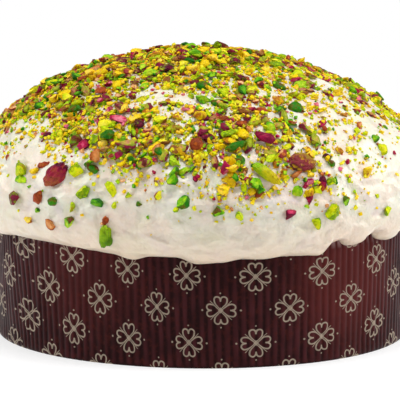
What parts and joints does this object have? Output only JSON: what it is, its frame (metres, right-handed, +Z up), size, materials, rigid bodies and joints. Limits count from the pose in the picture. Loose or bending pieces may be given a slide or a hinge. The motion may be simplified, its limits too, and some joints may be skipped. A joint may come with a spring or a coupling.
{
  "type": "panettone",
  "caption": "Low round panettone in a fluted brown paper mould, its domed top under thick white icing with chopped and whole pistachios.",
  "frame": {"origin": "centre of the mould's flat underside", "axes": "+Z up through the top of the dome; -Y towards the side that the picture shows"},
  "size_m": [0.238, 0.2422, 0.1465],
  "materials": {
    "mould_paper": "satin printed paper, dark brown with a grey-beige print",
    "bread_crumb": null,
    "icing": "glossy set icing of white chocolate; chopped nuts are fused to it",
    "pistachio_kernel": "matt nut with a thin purple-brown skin"
  },
  "bodies": {
    "root": {"paper_mould": "mould_paper", "bread": "bread_crumb", "icing": "icing", "kernel_1": "pistachio_kernel", "kernel_2": "pistachio_kernel", "kernel_3": "pistachio_kernel", "kernel_4": "pistachio_kernel", "kernel_5": "pistachio_kernel", "kernel_6": "pistachio_kernel", "kernel_7": "pistachio_kernel", "kernel_8": "pistachio_kernel"}
  },
  "joints": []
}
